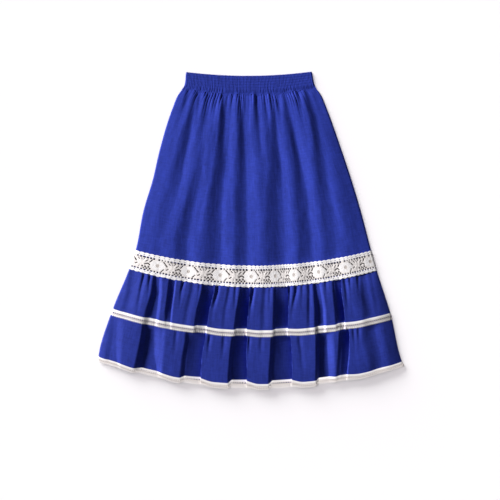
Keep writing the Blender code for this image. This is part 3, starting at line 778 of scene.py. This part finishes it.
def lace_material(name, shaded, cream, white):
    """Cotton lace of knotted thread. Its tone runs from the shaded hearts of the motifs to the whiter
    edges."""
    material, shader = new_material(name, 0.90)
    link = material.node_tree.links.new
    place = add_node(material, "ShaderNodeTexCoord").outputs["UV"]
    tone = add_node(material, "ShaderNodeAttribute")
    tone.attribute_name = "tone"
    knots = add_node(material, "ShaderNodeTexVoronoi", Scale=1100.0, Randomness=0.55)
    twist = add_node(material, "ShaderNodeTexNoise", Scale=2600.0, Detail=2.0)
    link(place, knots.inputs["Vector"])
    link(place, twist.inputs["Vector"])
    relief = arithmetic(material, "SUBTRACT", twist.outputs["Fac"], knots.outputs["Distance"])
    bumped(material, shader, relief, 0.35, 0.0004)
    tint = ramp(material, 0.0, 1.0, shaded, white)
    middle = tint.color_ramp.elements.new(0.5)
    middle.color = cream
    link(tone.outputs["Fac"], tint.inputs["Fac"])
    link(tint.outputs["Color"], shader.inputs["Base Color"])
    shader.inputs["Sheen Weight"].default_value = 0.10
    shader.inputs["Specular IOR Level"].default_value = 0.25
    return material


def thread_material(name, colour):
    """Sewing thread, with the fine diagonal twist of its plies."""
    material, shader = new_material(name, 0.6)
    shader.inputs["Base Color"].default_value = colour
    place = add_node(material, "ShaderNodeTexCoord").outputs["Object"]
    plies = add_node(material, "ShaderNodeTexWave", Scale=900.0, Distortion=0.5)
    plies.bands_direction = "DIAGONAL"
    material.node_tree.links.new(place, plies.inputs["Vector"])
    bumped(material, shader, plies.outputs["Fac"], 0.3, 0.0002)
    return material


# The dye runs between these two blues. The ruffles' cloth is the same blue painted darker, as painted shade.
BLUE_DEEP = (0.008, 0.021, 0.220, 1.0)
BLUE_LIGHT = (0.020, 0.043, 0.400, 1.0)
RUFFLE_PAINTED_SHADE = 0.85
COTTON_BLUE = cotton_material("blue_cotton_weave", BLUE_DEEP, BLUE_LIGHT)
RUFFLE_BLUE_PAINTED_SHADE = cotton_material(
    "ruffle_cotton_painted_shade",
    tuple(RUFFLE_PAINTED_SHADE * part for part in BLUE_DEEP[:3]) + (1.0,),
    tuple(RUFFLE_PAINTED_SHADE * part for part in BLUE_LIGHT[:3]) + (1.0,),
)
LACE_SHADED = (0.40, 0.35, 0.32, 1.0)
LACE_CREAM = (0.83, 0.78, 0.77, 1.0)
LACE_WHITE = (0.93, 0.91, 0.93, 1.0)
LACE_COTTON = lace_material("cotton_lace_thread", LACE_SHADED, LACE_CREAM, LACE_WHITE)
WHITE_THREAD = thread_material("white_thread", (0.85, 0.83, 0.80, 1.0))


def finish_piece(piece, material, slot, *nodes):
    piece.data.materials.clear()
    piece.data.materials.append(material)
    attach(piece, "root")
    if nodes:
        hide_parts(*nodes)
    return piece


# Cloth panels

# Each panel's edges, how finely its front is divided, and how wide its cloth is cut.
Panel = namedtuple("Panel", "name top bottom rows columns cut_width")
PANELS = (
    Panel("body", WAISTBAND_BOTTOM - ROW_GAP, BODY_EDGE, 86, 430, 0.66),
    Panel("ruffle_1", RUFFLE_1_EDGE, RUFFLE_SEAM, 38, 500, 0.86),
    Panel("ruffle_2", RUFFLE_SEAM + ROW_GAP / 2, RUFFLE_2_EDGE, 40, 520, 0.98),
)
BACK_COLUMNS = 200


def panel_rows(panel, rows):
    """Rows down a panel, closer together near its gathered top edge."""
    even = np.linspace(0, 1, rows)
    return panel.top + (panel.bottom - panel.top) * (0.45 * even + 0.55 * even**1.8)


def cloth_front(panel):
    down = panel_rows(panel, panel.rows)
    side = SIDE_WRAP / width(np.array(panel.bottom))
    share = np.concatenate([[-side], np.linspace(0, 1, panel.columns), [1 + side]])
    share, down = np.meshgrid(share, down)
    uv = np.stack([share * panel.cut_width, down], axis=-1)
    outer, inner = front_surface(share, down, CLOTH), front_surface(share, down, CLOTH - COTTON)
    return shell(f"{panel.name}_front_cloth", outer, inner, uv)


def cloth_back(panel):
    share, down = np.meshgrid(np.linspace(0, 1, BACK_COLUMNS), panel_rows(panel, panel.rows // 2))
    uv = np.stack([share * panel.cut_width, down], axis=-1)
    outer, inner = back_surface(share, down, COTTON), back_surface(share, down, 0.0)
    return shell(f"{panel.name}_back_cloth", outer, inner, uv)


for panel in PANELS:
    for side, made in (("front", cloth_front(panel)), ("back", cloth_back(panel))):
        # The ruffles get the darker copy of the blue: painted shade.
        cotton = COTTON_BLUE if panel.name == "body" else RUFFLE_BLUE_PAINTED_SHADE
        finish_piece(made, cotton, "blue_cotton", f"{panel.name}_{side}")


# Waistband


def waistband():
    """A flattened ring. Round its section run the front, a round end, the back and a round end. Each shirr
    is a rounded pleat between two narrow grooves, and each row of elastic stitching presses a shallow
    channel. Where the front meets the body, it bends up or down to the height of the folds."""
    radius = WAISTBAND_DEPTH / 2
    front = np.linspace(0, 1, 6 * SHIRRS + 1)
    back = np.linspace(1, 0, 4 * SHIRRS + 1)
    turn = np.linspace(0, np.pi, 9)[1:-1]
    share = np.concatenate([front, np.ones_like(turn), back, np.zeros_like(turn)])
    upward, downward = np.full_like(front, np.pi / 2), np.full_like(back, -np.pi / 2)
    angle = np.concatenate([upward, np.pi / 2 - turn, downward, -np.pi / 2 - turn])
    end = WAISTBAND_EDGE * (1 - np.cos(np.linspace(0, np.pi / 2, 5)))
    rows = np.concatenate([end[:-1], np.linspace(WAISTBAND_EDGE, WAISTBAND_BOTTOM, 34)])
    share, down = np.meshgrid(share, rows)
    angle = np.broadcast_to(angle, share.shape)
    flat = np.abs(np.sin(angle))
    rounding = np.sqrt(1 - (1 - np.clip(down / WAISTBAND_EDGE, 0, 1)) ** 2)
    along = down / WAISTBAND_BOTTOM
    uneven = 0.85 + 0.35 * smooth_noise(share, along, 70, 5, 13)
    channel = sum(np.exp(-(((down - row) / SHIRR_ROW_HALF_WIDTH) ** 2)) for row in SHIRR_ROWS)
    rise = SHIRR_HEIGHT * (1 - 0.8 * shirring(share, along) * uneven)
    rise = rise - SHIRR_ROW_DEPTH * channel * (1 - 0.5 * along) - 0.6 * waist_gathers(share, down)
    wall = WAISTBAND_WALL * (0.25 + 0.75 * rounding)
    inner_radius = np.full_like(wall, radius - WAISTBAND_WALL)
    faces = []
    for away in (inner_radius + wall + flat * rise * rounding, inner_radius):
        inset = (1 - 2 * share) * radius + away * np.cos(angle)
        x, y = plan(share + inset / width(down), down)
        y = y + waist_wave(share, down) * flat
        faces.append(np.stack([x, y, radius + away * np.sin(angle)], axis=-1))
    outer, inner = faces
    kept, near = waist_folds(share, down)
    seam_height = FRONT_BASE + side_rise(share, np.full_like(down, WAISTBAND_BOTTOM)) * loft(down) * kept
    bend = np.clip(seam_height + WAIST_SEAM_LIFT - outer[..., 2], -WAIST_SEAM_BEND, WAIST_SEAM_BEND)
    bend = bend * near * np.clip(np.sin(angle), 0, 1) ** 4
    outer[..., 2] = np.maximum(outer[..., 2] + bend, 0)
    inner[..., 2] += 0.5 * bend
    uv = np.stack([share * WAISTBAND_ROUND, down], axis=-1)
    return shell("waistband_shirred", outer, inner, uv, ring=True)


made = waistband()
finish_piece(made, COTTON_BLUE, "blue_cotton", "waistband")


# Lace insertion band

# All in millimetres but the medallions' shares across the skirt. The repeat runs from one four-leaf cross
# to the next.
REPEAT = 80.0
HALF_BAND = 26.8
BAND_CELL, BAND_CELL_BACK = 1.02, 1.5
MEDALLION_SHARES = (0.104, 0.232, 0.364, 0.493, 0.592, 0.668, 0.772, 0.883, 0.985)
MEDALLION_RADII = (19.5, 12.6)
CENTRE_HOLES = 6
CENTRE_HOLE_RADIUS = 0.85
CENTRE_HOLES_REACH = (3.1, 2.7)
SCALLOPS = 6
SCALLOP_DEPTH = 2.0
SLOT_AT, SLOT_LENGTH, SLOT_WIDTH = 21.4, 3.4, 1.5

# Slits between the motifs, from the middle of a four-leaf cross, in millimetres along and up the band.
Slit = namedtuple("Slit", "s_0 t_0 s_1 t_1 width")
SLITS = (
    Slit(-26.5, 12.6, -22.8, 8.8, 3.1),
    Slit(-20.6, 6.6, -15.8, 2.2, 3.4),
    Slit(-12.4, 11.4, -8.8, 7.4, 2.3),
    Slit(-4.2, 12.4, -1.6, 8.4, 2.0),
    Slit(4.2, 12.4, 1.6, 8.4, 2.0),
    Slit(7.8, 5, 13.2, 10, 2.3),
    Slit(18.6, 5.2, 23.4, 12, 3.1),
    Slit(7.8, -2.4, 14.2, 0.8, 3.4),
    Slit(16.4, 0.6, 20.4, -2.6, 3.1),
    Slit(-15.6, -6.4, -11.8, -3.8, 2.9),
    Slit(-27.4, -12.6, -22.8, -6.8, 2.7),
    Slit(-4.2, -8.4, -5.6, -12.2, 1.8),
    Slit(2.4, -8.8, 2.4, -8.8, 5.2),
    Slit(10.4, -9.2, 10.4, -9.2, 5.6),
    Slit(18.6, -7.9, 18.6, -7.9, 5.4),
    Slit(14.9, -12.6, 14.9, -12.6, 5.0),
    Slit(22.8, -12, 22.8, -12, 5.0),
    Slit(6.4, -12.7, 6.4, -12.7, 4.3),
)
# The two ladders: how far up the band each lies, the most that half the height of its gaps may be, and for
# each gap how far along the repeat it is and half its length.
Ladder = namedtuple("Ladder", "t half_height gaps")
LADDERS = (
    Ladder(
        15.6,
        2.5,
        (
            (-39.0, 2.6),
            (-31.0, 1.9),
            (-23.2, 1.6),
            (-15.2, 2.3),
            (-7.2, 3.3),
            (1.7, 4.0),
            (10.8, 3.3),
            (19.2, 3.0),
            (27.2, 3.0),
        ),
    ),
    Ladder(
        -16.8,
        2.3,
        (
            (-36.0, 2.2),
            (-28.4, 2.5),
            (-21.0, 2.3),
            (-13.8, 3.3),
            (-5.6, 2.3),
            (2.4, 2.5),
            (11.0, 3.0),
            (19.6, 2.3),
            (27.8, 3.1),
            (36.0, 2.2),
        ),
    ),
)

# The leaves of the cross: which way each points, in radians from along the band, and how long it is.
Leaf = namedtuple("Leaf", "turn length")
LEAVES = (Leaf(0.70, 17.0), Leaf(2.36, 16.0), Leaf(3.66, 19.0), Leaf(5.60, 10.0))
LEAF_HALF_WIDTH = 3.6


def along_repeat(s, centre):
    """How far s lies from the nearest copy of centre, one repeat apart."""
    return (s - centre + REPEAT / 2) % REPEAT - REPEAT / 2


def slit_distance(s, t, slit):
    """How far a point lies outside a slit with round ends."""
    ds, dt = slit.s_1 - slit.s_0, slit.t_1 - slit.t_0
    x, y = along_repeat(s, slit.s_0), t - slit.t_0
    part = np.clip((x * ds + y * dt) / max(ds * ds + dt * dt, 1e-9), 0, 1)
    return np.hypot(x - part * ds, y - part * dt) - slit.width / 2


def square_distance(s, t, middle_s, middle_t, half_s, half_t):
    """How far a point lies outside a rectangle with softened corners."""
    x, y = np.abs(along_repeat(s, middle_s)) / half_s, np.abs(t - middle_t) / half_t
    return ((x**4 + y**4) ** 0.25 - 1) * np.minimum(half_s, half_t)


def scallop_arc(s):
    """0 where two scallops meet and 1 at the top of each, along half a sine."""
    return np.abs(np.sin(np.pi * s * SCALLOPS / REPEAT))


def band_field(s, t):
    """How far inside the thread each point of the band lies: the least distance to its scalloped edges, its
    slits, its ladders' gaps, its slots and the holes round each medallion's middle."""
    field = HALF_BAND - SCALLOP_DEPTH * (1 - scallop_arc(s) ** 0.8) - np.abs(t)
    for slit in SLITS:
        field = np.minimum(field, slit_distance(s, t, slit))
    for ladder in LADDERS:
        for middle, half in ladder.gaps:
            gap = square_distance(s, t, middle, ladder.t, half, min(half, ladder.half_height))
            field = np.minimum(field, gap)
    pitch = REPEAT / SCALLOPS
    across = np.maximum(np.abs((s + pitch / 2) % pitch - pitch / 2) - SLOT_LENGTH / 2, 0)
    field = np.minimum(field, np.hypot(across, np.abs(t) - SLOT_AT) - SLOT_WIDTH / 2)
    x = along_repeat(s, REPEAT / 2)
    reach_s, reach_t = CENTRE_HOLES_REACH
    for turn in np.arange(CENTRE_HOLES) * 2 * np.pi / CENTRE_HOLES:
        away = np.hypot(x - reach_s * np.cos(turn), t - reach_t * np.sin(turn))
        field = np.minimum(field, away - CENTRE_HOLE_RADIUS)
    return field


def medallion_polar(s, t):
    """A point's distance from the nearest medallion's middle, 1 on its rim, and its angle there."""
    x, y = along_repeat(s, REPEAT / 2) / MEDALLION_RADII[0], t / MEDALLION_RADII[1]
    return np.hypot(x, y), np.arctan2(y, x)


def band_relief(s, t, field):
    """How far the thread stands up, in millimetres: cords rounded at each gap, eight petals between two
    rings in the medallion, two lines along each edge and the leaves of the cross. The slots in the
    scallops are sunk."""
    distance, turn = medallion_polar(s, t)
    petal = np.abs(np.cos(4 * turn)) ** 0.7 * ease(0.34, 0.5, distance) * (1 - ease(0.80, 0.98, distance))
    ring = np.exp(-(((distance - 0.30) / 0.06) ** 2)) + 0.8 * np.exp(-(((distance - 1.02) / 0.05) ** 2))
    slot = np.exp(-(((np.abs(t) - SLOT_AT) / 0.9) ** 2)) * ease(0.55, 0.85, scallop_arc(s))
    line = np.exp(-(((np.abs(t) - 19.4) / 0.7) ** 2)) + np.exp(-(((np.abs(t) - 13.2) / 0.6) ** 2))
    x = along_repeat(s, 0.0)
    cross = 0.0
    for leaf in LEAVES:
        ahead = x * np.cos(leaf.turn) + t * np.sin(leaf.turn)
        aside = t * np.cos(leaf.turn) - x * np.sin(leaf.turn)
        mound = 1 - (2 * ahead / leaf.length - 1) ** 2 - (aside / LEAF_HALF_WIDTH) ** 2
        cross = np.maximum(cross, np.clip(mound, 0, 1))
    cord = np.sin(np.pi / 2 * np.clip(field / 1.3, 0, 1))
    return 0.26 * cord + 0.16 * petal + 0.20 * ring + 0.20 * line + 0.34 * cross**0.7 - 0.40 * slot


def band_tone(s, t):
    """0.5 is cream, 1 white: whiter along the scalloped edges and in the medallions, and shaded in the
    slots and at each medallion's middle."""
    distance, _ = medallion_polar(s, t)
    slot = np.exp(-((np.abs(t) - SLOT_AT) ** 2)) * ease(0.5, 0.85, scallop_arc(s))
    tone = 0.54 + 0.46 * ease(16.5, 20.0, np.abs(t)) - 0.20 * slot
    tone = tone + 0.38 * (1 - ease(0.90, 1.06, distance))
    return tone - 0.72 * (1 - ease(4.2, 5.8, np.hypot(along_repeat(s, REPEAT / 2), t)))


def band_shares(s):
    """The share across the skirt of a distance along the front band. Repeats look short where the folds
    take up lace."""
    knots = np.array(MEDALLION_SHARES)
    where = REPEAT / 2 + REPEAT * np.arange(len(knots))
    first, last = (knots[1] - knots[0]) / REPEAT, (knots[-2] - knots[-3]) / REPEAT
    share = np.interp(s, where, knots)
    share = np.where(s < where[0], knots[0] + (s - where[0]) * first, share)
    return np.where(s > where[-1], knots[-1] + (s - where[-1]) * last, share)


def band_down(t):
    return (LACE_TOP + LACE_BOTTOM) / 2 - t / (2 * HALF_BAND) * (LACE_BOTTOM - LACE_TOP)


def lace_grid(start, end, cell):
    """A grid over the band, its rows running down, in millimetres."""
    half = HALF_BAND + 0.6
    s = np.arange(start, end + cell, cell)
    t = np.linspace(half, -half, int(round(2 * half / cell)) + 1)
    return np.meshgrid(s, t)


def lace_front():
    """The front band, which wraps a little way round both side seams."""
    at_left = REPEAT / 2 - MEDALLION_SHARES[0] * REPEAT / (MEDALLION_SHARES[1] - MEDALLION_SHARES[0])
    step = REPEAT / (MEDALLION_SHARES[-2] - MEDALLION_SHARES[-3])
    at_right = REPEAT / 2 + REPEAT * (len(MEDALLION_SHARES) - 1) + (1 - MEDALLION_SHARES[-1]) * step
    s, t = lace_grid(at_left - LACE_WRAP, at_right + LACE_WRAP, BAND_CELL)

    def place(s, t, field):
        share, down = band_shares(s), band_down(t)
        away = CLOTH + SEAM_GAP + 0.9 * LACE + MM * band_relief(s, t, field)
        return front_surface(share, down, away), front_surface(share, down, LACE_BACKING)

    return cut_sheet("lace_insertion_front", s, t, band_field(s, t), place, band_tone(s, t))


def flat_lace(x, y, clear, relief):
    """The two faces of lace that lies under the back. Its lower face stands clear of the surface by a
    little, and half of its relief reaches down from there."""
    lower = np.maximum(clear - 0.5 * MM * relief, 0)
    return np.stack([x, y, np.full_like(x, LACE)], axis=-1), np.stack([x, y, lower], axis=-1)


def lace_back():
    length = float(width(np.array((LACE_TOP + LACE_BOTTOM) / 2))) / MM
    s, t = lace_grid(0.0, length, BAND_CELL_BACK)

    def place(s, t, field):
        return flat_lace(*plan(s / length, band_down(t)), BAND_CLEAR, band_relief(s, t, field))

    return cut_sheet("lace_insertion_back", s, t, band_field(s, t), place, band_tone(s, t))


# Narrow trims

TRIM_PITCH = 5.4
TRIM_TOOTH = 3.0
TRIM_GAP_RADIUS = 1.15
TRIM_CELL, TRIM_CELL_BACK = 0.8, 1.3
TRIM_FULLNESS = 1.05


def trim_field(s, t, height):
    """How far inside the thread each point of a narrow trim lies, t being how far down it: a row of
    diamonds, a row of small gaps between them, and a scalloped lower edge with a tooth at each pitch."""
    x = (s + TRIM_PITCH / 2) % TRIM_PITCH - TRIM_PITCH / 2
    half = s % TRIM_PITCH - TRIM_PITCH / 2
    edge = height - TRIM_TOOTH * np.sin(np.pi * x / TRIM_PITCH) ** 2 - t
    field = np.minimum(edge, t)
    field = np.minimum(field, (np.abs(x) + 0.8 * np.abs(t - 0.47 * height) - 1.95) * 0.78)
    return np.minimum(field, np.hypot(half, t - 0.68 * height) - TRIM_GAP_RADIUS)


def trim_relief(t, height, field):
    """Rounded cords at each gap, and two raised lines along the solid upper band."""
    lines = np.exp(-(((t - 0.09 * height) / 0.6) ** 2)) + np.exp(-(((t - 0.27 * height) / 0.7) ** 2))
    return 0.32 * np.sin(np.pi / 2 * np.clip(field / 1.1, 0, 1)) + 0.22 * lines


def trim_tone(t, height):
    """Whiter along the solid upper band and the toothed edge, and shaded along the middle."""
    edges = 1 - ease(0.20 * height, 0.30 * height, t) + 0.6 * ease(0.78 * height, 0.90 * height, t)
    return 0.52 + 0.44 * edges - 0.30 * np.exp(-(((t - 0.53 * height) / 2.2) ** 2))


def narrow_trim(name, top, bottom, front):
    height = (bottom - top) / MM
    length = float(width(np.array((top + bottom) / 2))) / MM
    cell = TRIM_CELL if front else TRIM_CELL_BACK
    wrap = LACE_WRAP if front else 0.0
    s = np.arange(-wrap, length + wrap + cell, cell)
    t = np.linspace(-0.5, height + 0.4, int(round((height + 0.9) / cell)) + 1)
    s, t = np.meshgrid(s, t)

    def place_front(s, t, field):
        share, down = s / length, top + MM * t
        away = CLOTH + SEAM_GAP + 0.5 * LACE + MM * trim_relief(t, height, field)
        return front_surface(share, down, away), front_surface(share, down, LACE_BACKING)

    def place_back(s, t, field):
        return flat_lace(*plan(s / length, top + MM * t), TRIM_CLEAR, trim_relief(t, height, field))

    place = place_front if front else place_back
    return cut_sheet(name, s, t, trim_field(s, t, height), place, trim_tone(t, height))


for side, made in (("front", lace_front()), ("back", lace_back())):
    finish_piece(made, LACE_COTTON, "cream_lace", f"lace_band_{side}")
for trim_name, top, bottom in (
    ("ruffle_trim", RUFFLE_TRIM_TOP, RUFFLE_TRIM_BOTTOM),
    ("hem_trim", HEM_TRIM_TOP, HEM_TRIM_BOTTOM),
):
    for side in ("front", "back"):
        made = narrow_trim(f"{trim_name}_lace_{side}", top, bottom, side == "front")
        finish_piece(made, LACE_COTTON, "cream_lace", f"{trim_name}_{side}")
        float(width(np.array(bottom))) * TRIM_FULLNESS


# Stitching

STITCH_LENGTH = 0.0026
STITCH_GAP = 0.0010
SEAM_POINTS = 900
# Each row of stitches: how far down the skirt it runs, and its thread's radius.
Seam = namedtuple("Seam", "name down radius")
SEAMS = (
    Seam("lace_stitching_top", band_down(20.6), 0.00022),
    Seam("lace_stitching_bottom", band_down(-20.6), 0.00022),
    Seam("ruffle_trim_stitching", RUFFLE_TRIM_TOP + 0.0032, 0.0002),
    Seam("hem_trim_stitching", HEM_TRIM_TOP + 0.0032, 0.0002),
)

for seam in SEAMS:
    share = np.linspace(0.006, 0.994, SEAM_POINTS)
    down = np.full_like(share, seam.down)
    path = front_surface(share, down, LACE_FACE)
    above = front_surface(share, down, LACE_FACE + MM)
    made = stitches(seam.name, path, above - path, STITCH_LENGTH, STITCH_GAP, seam.radius)
    finish_piece(made, WHITE_THREAD, "cream_lace")


# The table, light and camera

# The photo is square and looks straight down. Its middle lies this far from the skirt's origin, counted
# in pixels to the right and up.
PIXEL = 0.0026
PHOTO_SIDE = 500 * PIXEL
PHOTO_MIDDLE = (-1, -19)
LENS = 100.0
SENSOR = 36.0

TABLE_SIZE = 12.0
TABLE_DROP = 0.0004

# Each sun: where it shines from, its strength, its apparent size in degrees and its colour.
Sun = namedtuple("Sun", "name direction strength softness colour")
KEY = Sun("key", (-0.86, 0.22, 0.33), 7.5, 12.0, (1.0, 0.99, 0.98))
HEM_LIGHT = Sun("hem_light", (-0.80, 0.35, 0.58), 4.7, 9.0, (1.0, 0.98, 0.97))
TABLE_LIGHT = Sun("table_light", (0.0, 0.0, 1.0), 1.62, 60.0, (1.0, 0.955, 0.985))
TABLE_SHADOW_LIGHT = Sun("table_shadow_light", (-0.62, 0.66, 0.30), 4.7, 44.0, (1.0, 1.0, 1.0))
WORLD_COLOUR = (0.98, 0.98, 1.0, 1.0)
WORLD_STRENGTH = 0.13


def table_top():
    corners = np.array([(-1, -1, 0), (1, -1, 0), (1, 1, 0), (-1, 1, 0)]) * TABLE_SIZE - (0, 0, TABLE_DROP)
    made = add_mesh("table_top", corners, [[0, 1, 2, 3]])
    material, shader = new_material("white_table", 0.95)
    shader.inputs["Base Color"].default_value = (0.93, 0.92, 0.93, 1.0)
    shader.inputs["Specular IOR Level"].default_value = 0.0
    made.data.materials.append(material)
    return made


def lamp_on(sun, objects):
    """A sun lamp whose light is kept to some objects. The others still cast their shadows in it."""
    light = bpy.data.lights.new(sun.name, "SUN")
    light.energy = sun.strength
    light.angle = np.radians(sun.softness)
    light.color = sun.colour
    lamp = bpy.data.objects.new(sun.name, light)
    bpy.context.scene.collection.objects.link(lamp)
    lamp.rotation_mode = "QUATERNION"
    lamp.rotation_quaternion = Vector(sun.direction).to_track_quat("Z", "Y")
    receivers = bpy.data.collections.new(f"{sun.name}_receivers")
    for each in objects:
        receivers.objects.link(each)
    lamp.light_linking.receiver_collection = receivers
    return light


def light_and_camera():
    """A low key light from the left, on the front alone, so that the lace's gaps stay dark. The hem's lace
    stands in the cloth's shadow, so it has a light of its own that casts none."""
    skirt = [each for each in bpy.context.scene.objects if each.type == "MESH"]
    table = table_top()
    hem = [each for each in skirt if each.name.startswith("hem_trim")]
    front = [each for each in skirt if each not in hem and "_back" not in each.name]
    lamp_on(KEY, front)
    hem_lamp = lamp_on(HEM_LIGHT, hem)
    hem_lamp.use_shadow = False
    lamp_on(TABLE_LIGHT, [table])
    lamp_on(TABLE_SHADOW_LIGHT, [table])
    world = bpy.data.worlds.new("studio")
    world.use_nodes = True
    background = world.node_tree.nodes["Background"]
    background.inputs["Color"].default_value = WORLD_COLOUR
    background.inputs["Strength"].default_value = WORLD_STRENGTH
    bpy.context.scene.world = world
    bpy.context.scene.view_settings.view_transform = "Standard"
    camera = bpy.data.cameras.new("photo_camera")
    camera.lens = LENS
    camera.sensor_width = SENSOR
    camera.clip_end = 50.0
    holder = bpy.data.objects.new("photo_camera", camera)
    bpy.context.scene.collection.objects.link(holder)
    holder.location = (PHOTO_MIDDLE[0] * PIXEL, PHOTO_MIDDLE[1] * PIXEL, PHOTO_SIDE * LENS / SENSOR)
    bpy.context.scene.camera = holder


light_and_camera()
